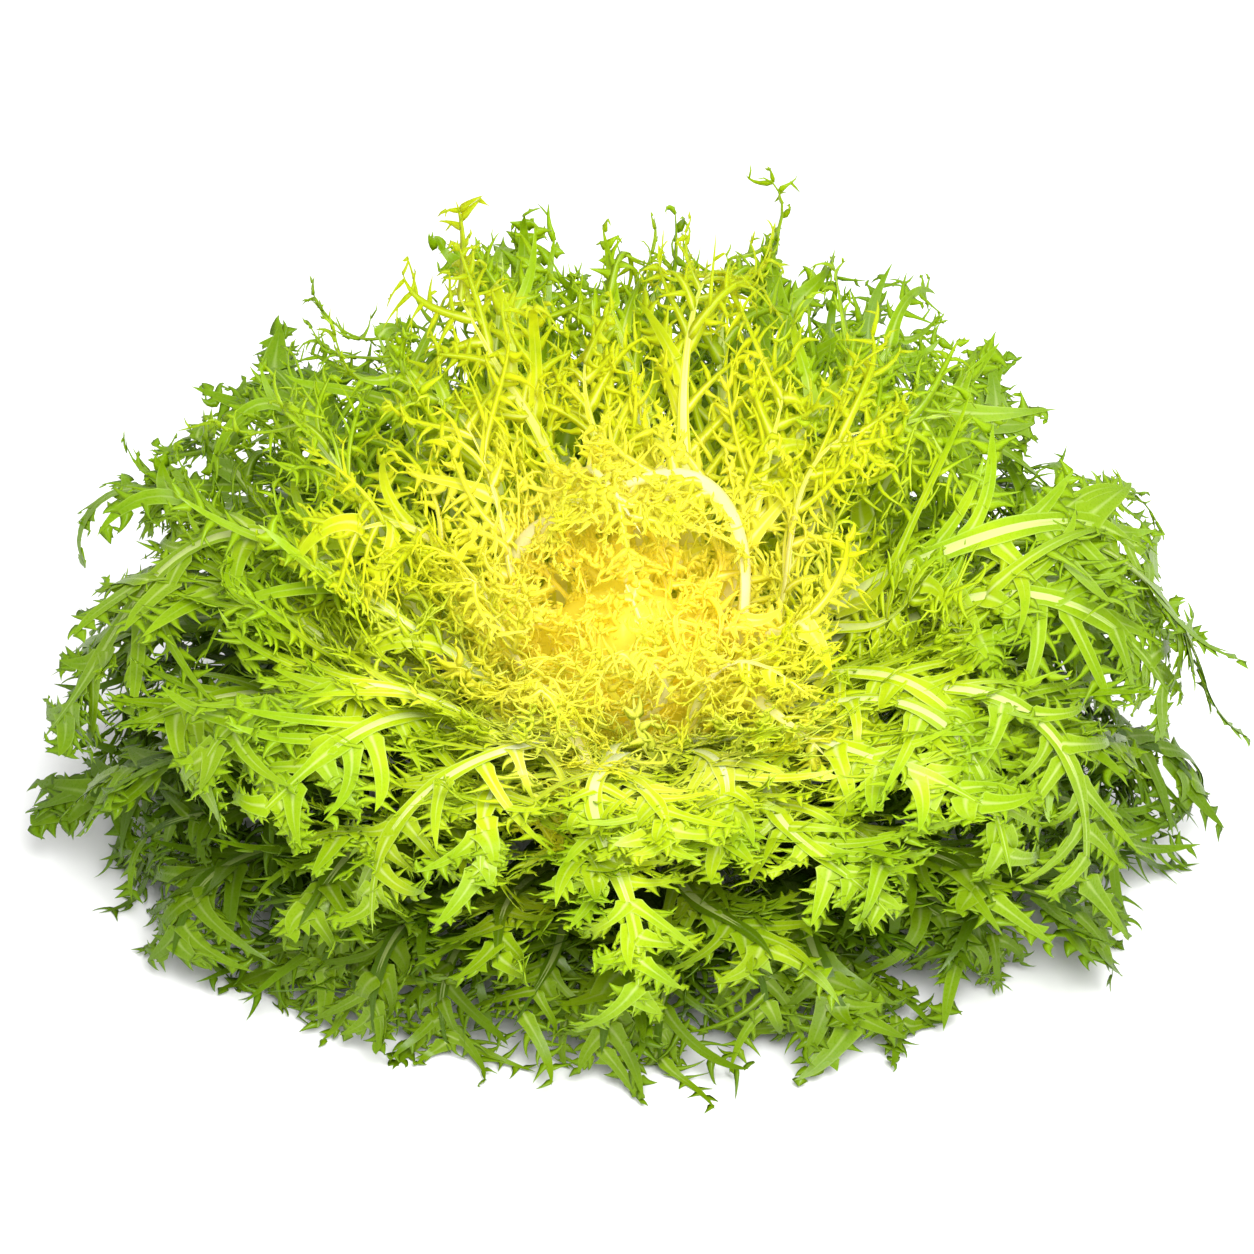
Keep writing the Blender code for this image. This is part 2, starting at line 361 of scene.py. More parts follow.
def fork(parent, who, where, hand, angle, lift, sink):
    """Roots and headings of lobes that leave their parents at the given places.

    A lobe starts on its parent's spine, turned from the parent's heading by angle to its
    own hand, then lifted out of the parent's plane. It starts sunk below the parent's
    middle, so the parent's upper side stays whole.
    """
    station = station_at(where, parent.point.shape[1])
    ahead = parent.ahead[who, station]
    across = parent.across[who, station]
    face = parent.face[who, station]
    turned = np.cos(angle)[:, None] * ahead + (hand * np.sin(angle))[:, None] * across
    side = np.cross(face, turned)
    heading = np.cos(lift)[:, None] * turned + np.sin(lift)[:, None] * face
    return parent.point[who, station] - sink[:, None] * face, heading, side


def branch(parent, order, length, crisp, who, where, hand, chance):
    """Spines of one order of lobes and the stretch of each that its parent hides.

    Lobes leave upwards or downwards and bend back the other way. On broad parents they
    stay nearer the plane.
    """
    n = len(who)
    broad = parent.broad[who]
    crisp = crisp * user().crispness * (1.0 - BROAD_STIFFNESS * broad)
    angle = np.radians(chance.uniform(order.angle[0], order.angle[1], n))
    angle = angle - np.radians(order.forward) * where
    flip = np.where(chance.uniform(size=n) < order.sag, -1.0, 1.0)
    lift = flip * crisp * order.lift * chance.uniform(*LIFTS, n) * (1.0 - broad)
    root, heading, across = fork(parent.spines, who, where, hand, angle, lift,
                                 blend(SINK, broad))
    bend = -flip * crisp * order.bend * chance.uniform(*BENDS, n)
    curl = chance.normal(0.0, order.curl, n) * crisp
    sweep = -hand * chance.uniform(order.sweep[0], order.sweep[1], n)
    twist = chance.normal(0.0, order.twist, n) * crisp
    spines = grow(root, heading, across, length, bend, curl, sweep, twist, order.stations)
    return spines, HIDDEN_SHARE * parent.half[who, station_at(where, parent.half.shape[1])]


# --- Sections ---

# A lobe's outline: see lobe_half_width().
ROOT_SHARE = 0.5
LEAST_COVER = 0.0005
FLARE_LENGTH = 1.1
SWELL_START = 0.25
SWELL_SPAN = 0.35
TIP_POWER = 2.4
# Its section: how far the edges stand up, and how much thinner it is at the tip.
EDGE_LIFT = 0.12
TIP_THINNING = 0.6
# The midrib's section, in half-widths: rise above, depth below, and the groove on top.
RIB_SIDES = 8
RIB_ABOVE = 0.30
RIB_BELOW = 0.85
GROOVE_DEPTH = 0.16
GROOVE_SPREAD = 0.3


def lobe_half_width(length, cover, foot, waist, blade, stations):
    """Half-widths along lobes, from the root to the tip.

    A lobe is foot wide where it leaves its parent, which hides its first stretch, cover;
    there it narrows towards its root. From the parent's edge it narrows to waist by an
    exponential, so the bay beside it is round. It swells to blade past the middle and
    closes at the tip.
    """
    s = np.linspace(0.0, 1.0, stations)[None, :]
    out = np.maximum(s * length[:, None] - cover[:, None], 0.0)
    flare = (foot - waist)[:, None] * np.exp(-out / (FLARE_LENGTH * foot[:, None]))
    swell = (blade - waist)[:, None] * smoothstep((s - SWELL_START) / SWELL_SPAN)
    hidden = s * length[:, None] / np.maximum(cover, LEAST_COVER)[:, None]
    root = blend((ROOT_SHARE, 1.0), smoothstep(hidden))
    return root * (waist[:, None] + flare + swell) * (1.0 - s ** TIP_POWER)


def lobe_sections(spines, half, thickness):
    """Lens-shaped sections of many lobes: left edge, top, right edge, bottom.

    The edges stand half to each side and a share of half above the spine. The last
    station is the tip, a single point.
    """
    count, stations = spines.point.shape[:2]
    s = np.linspace(0.0, 1.0, stations)[None, :-1, None]
    thick = 0.5 * thickness[:, None, None] * (1.0 - TIP_THINNING * s)
    half = half[:, :-1, None]
    point = spines.point[:, :-1]
    across = spines.across[:, :-1]
    face = spines.face[:, :-1]
    rim = EDGE_LIFT * half * face
    sections = np.empty((count, stations - 1, 4, 3))
    sections[:, :, 0] = point - half * across + rim
    sections[:, :, 1] = point + thick * face
    sections[:, :, 2] = point + half * across + rim
    sections[:, :, 3] = point - thick * face
    return sections, spines.point[:, -1]


def rib_sections(spines, half_width):
    """Crescent sections of a midrib: flat and grooved above, round below.

    Round an ellipse of two halves; the groove is a bell curve of the angle from the top.
    """
    angle = np.linspace(0.0, 2.0 * np.pi, RIB_SIDES, endpoint=False)
    angle = angle[None, None, ::-1]
    rise = np.where(np.sin(angle) > 0.0, RIB_ABOVE, RIB_BELOW) * np.sin(angle)
    rise = rise - GROOVE_DEPTH * np.exp(-((angle - 0.5 * np.pi) / GROOVE_SPREAD) ** 2)
    half = half_width[None, :-1, None]
    x = (half * np.cos(angle))[..., None]
    y = (half * rise)[..., None]
    point = spines.point[:, :-1, None]
    sections = point + x * spines.across[:, :-1, None] + y * spines.face[:, :-1, None]
    return sections, spines.point[:, -1]


# --- Meshes ---

# Marks of a lens section's left edge, top, right edge and bottom; an under mark of RIM is
# the rim's.
RIM = 0.5
LENS_RIB = np.array((0.0, 1.0, 0.0, 1.0))
LENS_UNDER = np.array((RIM, 0.0, RIM, 1.0))
LENS_RIM = np.array((1.0, 0.0, 1.0, 0.0))
# Painted shade: leaves darken from this height down to the floor.
SHADE_HEIGHT = 0.075
FLOOR_SHADE = 0.22


def mesh_of(name, points, faces):
    """A smooth mesh from points and a list of face arrays, one array a face size."""
    loops = np.concatenate([f.ravel() for f in faces])
    sizes = np.concatenate([np.full(len(f), f.shape[1]) for f in faces])
    starts = np.concatenate(((0,), np.cumsum(sizes)[:-1]))
    mesh = bpy.data.meshes.new(name)
    mesh.vertices.add(len(points))
    mesh.vertices.foreach_set("co", points.astype(np.float32).ravel())
    mesh.loops.add(len(loops))
    mesh.loops.foreach_set("vertex_index", loops.astype(np.int32))
    mesh.polygons.add(len(sizes))
    mesh.polygons.foreach_set("loop_start", starts.astype(np.int32))
    mesh.update(calc_edges=True)
    mesh.shade_smooth()
    return mesh


def pressed(points):
    """The points with none below the floor: low heights shrink towards it by an exponential."""
    low = np.minimum(points[:, 2], FLOOR_PRESS) / FLOOR_PRESS
    points[:, 2] = np.maximum(points[:, 2], FLOOR_PRESS * np.exp(low - 1.0))
    return points


def crease(mesh, creased):
    """Sharp edges where both ends lie on the thin rim of a broad blade."""
    ends = np.empty(2 * len(mesh.edges), dtype=np.int32)
    mesh.edges.foreach_get("vertices", ends)
    rim = (creased > 0.5)[ends].reshape(-1, 2).all(axis=1)
    layer = mesh.attributes.new("sharp_edge", "BOOLEAN", "EDGE")
    layer.data.foreach_set("value", rim)


class Skin:
    """Collects closed strips and their marks, then makes one mesh."""

    def __init__(self):
        self.points = []
        self.quads = []
        self.fans = []
        self.caps = []
        self.marks = []
        self.size = 0
        self.laid = 0

    def add(self, sections, tips, *marks):
        """Join each strip's sections with quads, cap its root and fan its tip.

        Sections are (strips, stations, sides, 3). The marks are rib, under, shade and
        creased; each spreads over its strip's points, and a tip takes the largest of the
        last section, but for its under mark, which is the rim's.
        """
        shape = count, stations, sides = sections.shape[:3]
        ring = np.arange(count * stations * sides).reshape(shape)
        ring = ring + self.size
        turn = np.roll(ring, -1, axis=2)
        quads = np.stack((ring[:, :-1], turn[:, :-1], turn[:, 1:], ring[:, 1:]), axis=-1)
        tip = self.size + ring.size + np.arange(count)
        fan_tip = np.broadcast_to(tip[:, None], (count, sides))
        fans = np.stack((ring[:, -1], turn[:, -1], fan_tip), axis=-1)
        self.quads.append(quads.reshape(-1, 4))
        self.fans.append(fans.reshape(-1, 3))
        self.caps.append(ring[:, 0, ::-1].reshape(count, sides))
        self.points += [sections.reshape(-1, 3), tips]
        spread = np.stack([np.broadcast_to(mark, shape) for mark in marks], axis=-1)
        last = spread[:, -1].max(axis=1)
        last[:, 1] = RIM
        self.marks += [spread.reshape(-1, len(marks)), last]
        self.size += count * stations * sides + count

    def lay(self, cup, azimuth):
        """Drape what was grown flat since the last leaf on this leaf's cup."""
        flat = np.concatenate(self.points[self.laid:])
        self.points[self.laid:] = [drape(flat, cup, azimuth)]
        self.laid = len(self.points)

    def keep(self):
        """Leave what was added so far where it is."""
        self.laid = len(self.points)

    def mesh(self, name):
        """One mesh of all strips, smooth, with its marks as attributes."""
        points = pressed(np.concatenate(self.points))
        rib, under, shade, creased = np.concatenate(self.marks).T
        faces = [np.concatenate(self.quads), np.concatenate(self.fans), *self.caps]
        mesh = mesh_of(name, points, faces)
        crease(mesh, creased)
        away = np.linalg.norm(points - HEART_CENTRE, axis=-1)
        # Painted shade: low points darken towards the floor.
        shade = shade + FLOOR_SHADE * smoothstep(1.0 - points[:, 2] / SHADE_HEIGHT)
        for label, values in (("rib", rib), ("under", under), ("shade", shade),
                              ("away", away)):
            layer = mesh.attributes.new(label, "FLOAT", "POINT")
            layer.data.foreach_set("value", values.astype(np.float32))
        return mesh


def show(name, mesh, material, node):
    """Put a finished piece in the scene in place of its solid."""
    mesh.materials.append(material)
    piece = bpy.data.objects.new(name, mesh)
    bpy.context.scene.collection.objects.link(piece)
    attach(piece, "root")
    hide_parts(node)
    return piece


# --- Leaves ---

# Lobes: the width past which a blade's rim is creased, and the vein and its fade on broad
# blades, as shares of those on threads.
CREASED_WIDTH = 0.0011
BROAD_VEIN = 0.87
BROAD_FADE = 0.35
LOBE_FADE = 0.6
VIGOUR = (0.8, 1.2)
THREAD_THICKNESS = 1.7
BROAD_THINNING = 0.8
STRAY = 0.6

# Midrib and the lamina along it: see grow_midrib().
RIB_TIP = 0.20
RIB_TAPER = 1.1
LAMINA_SPAN = 0.35
LAMINA_WAVE = 0.25
LAMINA_STEP = 0.9
SHEET = 0.0012
SHEET_SPAN = 0.3
LAMINA = (0.0002, 0.0036)
LAMINA_START = 0.45
LAMINA_GROWN = 0.4
LEAF_BROAD = 0.28
LEAF_LENGTH = 0.15
LEAF_VEIN = 0.94
LEAF_FADE = 0.06

# Lobes along a midrib: see grow_leaf().
LOBE_END = 0.97
LOBE_CROWD = 0.8
STOUT_CHANCE = 0.1
STOUT_BREADTH = 0.4
LOBE_LENGTHS = (0.45, 1.25)
LOBELET_SPAN = (0.12, 0.93)
LOBELET_SHARES = (0.38, 0.24)
LOBELET_LENGTHS = (0.45, 1.35)
SHORTEST_LOBELET = 0.0035
TOOTH = 0.0034
TOOTH_LENGTHS = (0.6, 1.5)
TOOTH_CLEARANCE = 1.15
THORN_SPAN = (0.30, 0.85)
THORN_SHARES = (0.3, 0.55)
SHORTEST_THORN = 0.0018


def add_lobes(skin, lobes, thickness, vein, fade, age):
    """Skin one order of lobes; the vein mark fades by a share from the root to the tip."""
    sections, tips = lobe_sections(lobes.spines, lobes.half, thickness)
    s = np.linspace(0.0, 1.0, lobes.half.shape[1])[:-1]
    vein = vein * blend((1.0, BROAD_VEIN), lobes.broad)[:, None]
    fade = fade * blend((1.0, BROAD_FADE), lobes.broad)[:, None]
    rib = (vein * (1.0 - fade * s))[:, :, None] * LENS_RIB
    # Painted shade, in part: darker towards the leaf's foot with age, under the leaves above.
    shade = (age * (1.0 - lobes.along))[:, None, None]
    creased = (np.median(lobes.half, axis=1) > CREASED_WIDTH)[:, None, None] * LENS_RIM
    skin.add(sections, tips, rib, LENS_UNDER, shade, creased)


def lobe_places(parents, per_side, first, last, crowd, chance):
    """Which parent, where along it and on which hand: staggered left and right in turn.

    Places go as a power of their number, so a crowd below 1 gathers them at the tip.
    """
    count = 2 * per_side
    slot = np.tile(np.arange(count), parents)
    who = np.repeat(np.arange(parents), count)
    jitter = chance.uniform(-STRAY, STRAY, len(slot))
    first_hand = np.repeat(np.where(chance.uniform(size=parents) < 0.5, -1.0, 1.0), count)
    hand = first_hand * np.where(slot % 2 == 0, -1.0, 1.0)
    place = (slot + 0.5 + jitter) / count
    return who, first + (last - first) * np.abs(place) ** crowd, hand


def grow_lobes(skin, whorl, parent, order, who, where, hand, length, broad, along, chance):
    """One order of lobes, grown on their parents and skinned."""
    spines, cover = branch(parent, order, length, whorl.crisp, who, where, hand, chance)
    vigour = chance.uniform(*VIGOUR, len(who))
    foot, waist, blade = (blend(size, broad) * vigour
                          for size in (order.foot, order.waist, order.blade))
    half = lobe_half_width(length, cover, foot, waist, blade, order.stations)
    lobes = Lobes(spines, half, length, broad, along)
    thickness = user().lamina_thickness * (THREAD_THICKNESS - BROAD_THINNING * broad)
    add_lobes(skin, lobes, thickness, order.vein, LOBE_FADE, whorl.age)
    return lobes


def grow_midrib(skin, spine, whorl, chance):
    """The midrib, widest at its foot, and the wavy lamina along it.

    The rib's half-width falls as a power of the way left and closes at the tip. The lamina
    is the rib's width, a thin sheet on the petioles of young leaves, and a blade that
    widens towards the leaf's end with its breadth; a sine waves its width.
    """
    stations = spine.point.shape[1]
    s = np.linspace(0.0, 1.0, stations)
    rib_half = whorl.rib * (RIB_TIP + (1.0 - RIB_TIP) * (1.0 - s) ** RIB_TAPER)
    rib_half = rib_half * (1.0 - 0.9 * s ** 6)
    sections, tips = rib_sections(spine, rib_half)
    # The rib's shade mark is painted shade, in part: darker towards the foot with age.
    skin.add(sections, tips, 1.0, 0.0, (whorl.age * (1.0 - s[:-1]))[None, :, None], 0.0)
    broad = blend(whorl.breadth, s ** 1.5)
    start = smoothstep((s - 0.5 * whorl.first) / LAMINA_SPAN)
    phase = chance.uniform(0.0, 6.0)
    wave = 1.0 + LAMINA_WAVE * np.sin(LAMINA_STEP * np.arange(stations) + phase)
    sheet = SHEET * (1.0 - whorl.age) ** 2 * (1.0 - s) * smoothstep(s / SHEET_SPAN)
    blade = blend(LAMINA, broad * smoothstep((s - LAMINA_START) / LAMINA_GROWN))
    half = ((rib_half + sheet + blade * start * wave) * (1.0 - s ** 5))[None]
    leaf = Lobes(spine, half, np.array((LEAF_LENGTH,)),
                 np.array((LEAF_BROAD * whorl.breadth[1],)), s[None, :-1].mean(axis=1))
    thickness = np.array((user().lamina_thickness,))
    add_lobes(skin, leaf, thickness, LEAF_VEIN, LEAF_FADE, whorl.age)
    return leaf


def lobe_swell(out, breadth):
    """Lobe length along a midrib, of the longest: it rises at first and falls at the end."""
    fall = 0.25 + 0.25 * breadth
    swell = smoothstep((out + 0.15) / 0.45) * (1.0 - fall * smoothstep((out - 0.5) / 0.4))
    return 0.2 + 0.8 * swell


def grow_leaf(skin, spine, whorl, chance):
    """A whole leaf: midrib, lamina, lobes, lobelets and thorns.

    Lobe length follows a swelling envelope along the midrib, and a tenth of the lobes is
    stouter. A lobelet of a thread is a share of its lobe; on a broad blade it is a tooth,
    just longer than the blade is wide.
    """
    leaf = grow_midrib(skin, spine, whorl, chance)
    who, where, hand = lobe_places(1, whorl.lobes, whorl.first, LOBE_END, LOBE_CROWD, chance)
    n = len(who)
    broad = blend(whorl.breadth, where ** 1.5)
    stout = chance.uniform(size=n) < STOUT_CHANCE
    broad = np.clip(broad + STOUT_BREADTH * stout, 0.0, 1.0)
    out = (where - whorl.first) / (1.0 - whorl.first)
    length = whorl.length * user().lobe_scale * lobe_swell(out, whorl.breadth[1])
    length = length * chance.uniform(*LOBE_LENGTHS, n)
    lobes = grow_lobes(skin, whorl, leaf, LOBE, who, where, hand, length, broad, where,
                       chance)

    who, where, hand = lobe_places(n, whorl.lobelets, *LOBELET_SPAN, 1.0, chance)
    n = len(who)
    length = lobes.length[who] * blend(LOBELET_SHARES, where)
    length = length * chance.uniform(*LOBELET_LENGTHS, n)
    edge = lobes.half[who, station_at(where, lobes.half.shape[1])]
    tooth = TOOTH * chance.uniform(*TOOTH_LENGTHS, n) + TOOTH_CLEARANCE * edge
    length = np.maximum(blend((length, tooth), lobes.broad[who] ** 1.5), SHORTEST_LOBELET)
    lobelets = grow_lobes(skin, whorl, lobes, LOBELET, who, where, hand, length,
                          lobes.broad[who], lobes.along[who], chance)

    if not whorl.thorns:
        return
    who = np.repeat(np.arange(n), whorl.thorns)
    n = len(who)
    where = chance.uniform(*THORN_SPAN, n)
    hand = np.where(chance.uniform(size=n) < 0.5, -1.0, 1.0)
    length = np.maximum(lobelets.length[who] * chance.uniform(*THORN_SHARES, n),
                        SHORTEST_THORN)
    grow_lobes(skin, whorl, lobelets, THORN, who, where, hand, length,
               lobelets.broad[who], lobelets.along[who], chance)


# --- Whorls ---

def leaf_plan():
    """Azimuth and reach of every leaf, drawn as its solids drew them."""
    chance = np.random.default_rng(PLAN_SEED)
    plan = {}
    for rank, whorl in enumerate(WHORLS):
        for i in range(whorl.count):
            azimuth = rank * WHORL_TURN + 2.0 * math.pi * i / whorl.count
            reach = 1.0 if rank == OUTERMOST else chance.uniform(SHORTEST_REACH, 1.0)
            chance.uniform(0.0, 2.0 * math.pi)  # The solids draw their ripple here.
            plan[f"{whorl.name}_{i + 1:02d}"] = (whorl, azimuth, reach)
    return plan


def add_leaf(skin, whorl, cup, share, azimuth, chance):
    """Grow one leaf flat and lay it on its cup; share is of the cup's length."""
    length = share * user().leaf_reach * cup_length(cup)
    grow_leaf(skin, midrib(length, MIDRIB_STATIONS, user().wander, chance), whorl, chance)
    skin.lay(cup, azimuth)


def lacy(whorl):
    """The whorl with narrower lobes."""
    foot, end = whorl.breadth
    return whorl._replace(breadth=(foot, FILLER_BREADTH * end))


def add_neighbour(skin, rank, outside, azimuth, chance):
    """The leaf half-way to the next one: a lacy filler or, in front, one that arches over."""
    whorl = WHORLS[rank]
    if rank in OVER_RANKS and math.cos(azimuth) > OVER_FACING:
        cup = between(OVER_CUP, outside, chance.uniform(*OVER_OUTWARDS))
        add_leaf(skin, whorl._replace(**OVER_SHAPE), cup, chance.uniform(*OVER_SHARE),
                 azimuth, chance)
    else:
        cup = between(whorl.cup, outside, chance.uniform(*FILLER_OUTWARDS))
        cup = cup._replace(tip_pull=FILLER_FALL * cup.tip_pull)
        add_leaf(skin, lacy(whorl), cup, FILLER_SHARE * whorl.share, azimuth, chance)


def add_bowed_leaf(skin, whorl, azimuth, chance):
    """A bare leaf that bows forwards in front of the heart, or crosses over it."""
    cup = BOWED_FORWARDS if math.cos(azimuth) > BOWED_FACING else BOWED_ACROSS
    azimuth += chance.uniform(-BOWED_STRAY, BOWED_STRAY)
    add_leaf(skin, whorl._replace(**BOWED_SHAPE), cup, chance.uniform(*BOWED_SHARE),
             azimuth, chance)


def add_low_leaves(skin, whorl, azimuth, chance):
    """Lacy leaves low down, a quarter of the way to each neighbour; one only at the back."""
    quarter = 0.5 * math.pi / whorl.count
    add_leaf(skin, lacy(whorl), LOW_CUP, LOW_SHARES[0], azimuth + quarter, chance)
    if math.cos(azimuth) > LOW_FACING:
        add_leaf(skin, lacy(whorl), LOW_CUP, LOW_SHARES[1], azimuth - quarter, chance)


def grow_whorl(rank):
    """Every leaf of one whorl, each from a seed of its own, with those beside it."""
    outside = LOW_CUP if rank == OUTERMOST else WHORLS[rank - 1].cup
    for number, (name, (whorl, azimuth, reach)) in enumerate(leaf_plan().items(), start=1):
        if whorl is not WHORLS[rank]:
            continue
        chance = np.random.default_rng(LEAF_SEED + number)
        skin = Skin()
        cup = between(whorl.cup, outside, chance.uniform(*MAIN_OUTWARDS))
        add_leaf(skin, whorl, cup, reach * whorl.share, azimuth, chance)
        beside = azimuth + math.pi / whorl.count
        add_neighbour(skin, rank, outside, beside, chance)
        if rank == HEARTMOST:
            add_bowed_leaf(skin, whorl, beside, chance)
        if rank == OUTERMOST:
            add_low_leaves(skin, whorl, azimuth, chance)
        show(name + "_frill", skin.mesh(name), leaf_material(whorl), name)


# --- Heart ---

CORE_FOOT = 0.046
CORE_TOP = 0.097
CORE_RADIUS = 0.024
CORE_FOLDS = 7
CORE_WIND = 4.0
CORE_CREASE = 0.22
CORE_SIDES = 84
CORE_RINGS = 25

TUFT = Whorl("bud", 18, None, 1.0, 0.14, 7, 4, 1, 0.017, (0.0, 0.05), 1.10, 0.0015, 0.0)
TUFT_STATIONS = 32
TUFT_WANDER = 0.004
# Its leaves' cups, each size from the tuft's middle to its rim.
TUFT_ROOT_RADIUS = (0.0050, 0.0080)
TUFT_ROOT_HEIGHT = (0.050, 0.046)
TUFT_ROOT_ANGLE = (10.0, 25.0)
TUFT_ROOT_PULL = 0.030
TUFT_TIP_RADIUS = 0.040
TUFT_TIP_HEIGHT = (0.108, 0.086)
TUFT_TIP_ANGLE = (20.0, 130.0)
TUFT_TIP_PULL = 0.012


def core_sections():
    """Rings of the packed, unopened leaves at the heart's middle, foot to top.

    The radius is a root of the half sine of a power of the height share, folded by a
    cosine of the azimuth that winds round with height.
    """
    share = np.linspace(0.02, 0.98, CORE_RINGS)[None, :, None]
    azimuth = np.linspace(0.0, -2.0 * np.pi, CORE_SIDES, endpoint=False)[None, None, :]
    fold = np.abs(np.cos(0.5 * CORE_FOLDS * azimuth + CORE_WIND * share))
    radius = CORE_RADIUS * np.sin(np.pi * share ** 0.8) ** 0.55
    radius = radius * ((1.0 - CORE_CREASE) + CORE_CREASE * fold)
    return settle(radius, azimuth, blend((CORE_FOOT, CORE_TOP), share))


def tuft_cup(share):
    """The cup of a tuft leaf, share 0 in the middle and 1 at the rim."""
    root = (blend(TUFT_ROOT_RADIUS, share), blend(TUFT_ROOT_HEIGHT, share))
    tip = (TUFT_TIP_RADIUS * math.sqrt(share), blend(TUFT_TIP_HEIGHT, share))
    return Cup(root, blend(TUFT_ROOT_ANGLE, share), TUFT_ROOT_PULL,
               tip, blend(TUFT_TIP_ANGLE, share), TUFT_TIP_PULL)


def grow_tuft():
    """The heart: small thread-fine leaves in one tuft, the inner ones curling over."""
    chance = np.random.default_rng(TUFT_SEED)
    skin = Skin()
    core = core_sections()
    skin.add(core, core[:, -1].mean(axis=1), 0.0, 0.0, 0.0, 0.0)
    skin.keep()
    for i in range(TUFT.count):
        cup = tuft_cup((i + 0.5) / TUFT.count)
        length = TUFT.share * cup_length(cup)
        grow_leaf(skin, midrib(length, TUFT_STATIONS, TUFT_WANDER, chance), TUFT, chance)
        skin.lay(cup, i * GOLDEN_ANGLE)
    show("heart_bud_tuft", skin.mesh("heart_bud_tuft"), leaf_material(TUFT), "heart_bud")


# --- Stem ---

CUT_RADIUS = 0.0165
STEM_HEIGHT = 0.045
STEM_TOP_RADIUS = 0.0065
STEM_ROUND = 0.0006
STEM_SIDES = 96
SCARS = 13
SCAR_WIND = 260.0
SCAR_DEPTH = 0.035
SCAR_START = 0.006


def stem_points():
    """The stem as rings of points, from the tip down its side and in over the cut.

    The side's radius falls with height h as (1 - h^1.5)^0.8 between the cut's and the
    tip's. Leaf scars swell it by a cosine of the azimuth that fades at the cut, and the
    cut's rim is a quarter round.
    """
    share = np.linspace(1.0, 0.02, 26)
    side_radius = blend((STEM_TOP_RADIUS, CUT_RADIUS), (1.0 - share ** 1.5) ** 0.8)
    bevel = np.linspace(0.0, 0.5 * np.pi, 5)
    rim_radius = CUT_RADIUS - STEM_ROUND * (1.0 - np.cos(bevel))
    rim_height = STEM_ROUND * (1.0 - np.sin(bevel))
    face_radius = np.linspace(CUT_RADIUS - 1.5 * STEM_ROUND, 0.0004, 12)
    radius = np.concatenate((side_radius, rim_radius, face_radius))[:, None]
    height = (share * STEM_HEIGHT, rim_height, np.zeros_like(face_radius))
    height = np.concatenate(height)[:, None]
    azimuth = np.linspace(0.0, 2.0 * np.pi, STEM_SIDES, endpoint=False)[None, :]
    scar = np.cos(SCARS * azimuth + SCAR_WIND * height) * smoothstep(height / SCAR_START)
    radius = radius * (1.0 + SCAR_DEPTH * scar - SCAR_DEPTH)
    return settle(radius, azimuth, height)


def grow_stem():
    """The root stock: rings of quads, closed by a fan at the tip and at the cut's middle."""
    rings = stem_points()
    rows, sides = rings.shape[:2]
    points = np.concatenate((rings.reshape(-1, 3), rings[[0, -1]].mean(axis=1)))
    ring = np.arange(rows * sides).reshape(rows, sides)
    turn = np.roll(ring, -1, axis=1)
    quads = np.stack((ring[:-1], ring[1:], turn[1:], turn[:-1]), axis=-1).reshape(-1, 4)
    top = np.stack((np.full(sides, rows * sides), ring[0], turn[0]), axis=-1)
    foot = np.stack((np.full(sides, rows * sides + 1), turn[-1], ring[-1]), axis=-1)
    mesh = mesh_of("stem_base_stock", points, [quads, top, foot])
    show("stem_base_stock", mesh, stem_material(), "stem_base")


# --- Materials ---

# Distance from the heart's centre at which the colour ramps end.
RAMP_SPAN = 0.16
# Pale rims: partly the leaves' own cream rims, partly painted highlight, a whitish sheen on lit
# rims, whitest near the heart.
RIMS_AND_SHEEN = ((0.00, (1.00, 0.99, 0.95)), (0.30, (0.88, 0.94, 0.44)), (0.50, (0.60, 0.76, 0.18)),
         (1.00, (0.42, 0.62, 0.12)))
RIBS = ((0.00, (1.00, 0.99, 0.92)), (0.20, (0.97, 0.97, 0.66)), (0.38, (0.80, 0.88, 0.30)),
        (1.00, (0.48, 0.66, 0.15)))
NOISE_SPAN = (0.3, 0.7)
PATCH_SCALE = 55.0
PATCH_DRIFT = 0.10
CELL_SCALE = 1400.0
SPECK_SHARE = 0.12
SPECK_COLOUR = (0.60, 0.70, 0.02, 1.0)
UNDER_SHARE = 0.12
UNDER_COLOUR = (0.72, 0.80, 0.06, 1.0)
RIM_SPAN = 0.08
RIM_AND_SHEEN_SHARE = 0.50
VEIN_SPAN = (0.64, 0.96)
SHADE_SPAN = (0.08, 0.50)
SHADE_SHARE = 0.92
LEAF_ROUGHNESS = (0.24, 0.36)
LEAF_SPECULAR = 0.24

# A whorl's leaf material: name, colour of the light that passes through, its share, and the
# strength of a painted glow, an emission that lights the shade deep in the tight heart.
Glow = namedtuple("Glow", "material colour share scatter")
GLOWS = {
    "outer_leaf": Glow("GreenLeaf", (0.15, 0.32, 0.002), 0.38, 0.0),
    "skirt_leaf": Glow("GreenLeaf", (0.15, 0.32, 0.002), 0.38, 0.0),
    "middle_leaf": Glow("LightLeaf", (0.33, 0.51, 0.004), 0.42, 0.0),
    "upper_leaf": Glow("YoungLeaf", (0.52, 0.67, 0.007), 0.46, 0.04),
    "inner_leaf": Glow("InnerLeaf", (0.68, 0.76, 0.012), 0.48, 0.05),
    "heart_leaf": Glow("HeartLeaf", (0.94, 0.88, 0.050), 0.58, 0.12),
    "bud": Glow("BudLeaf", (1.00, 0.90, 0.060), 0.62, 0.19),
}


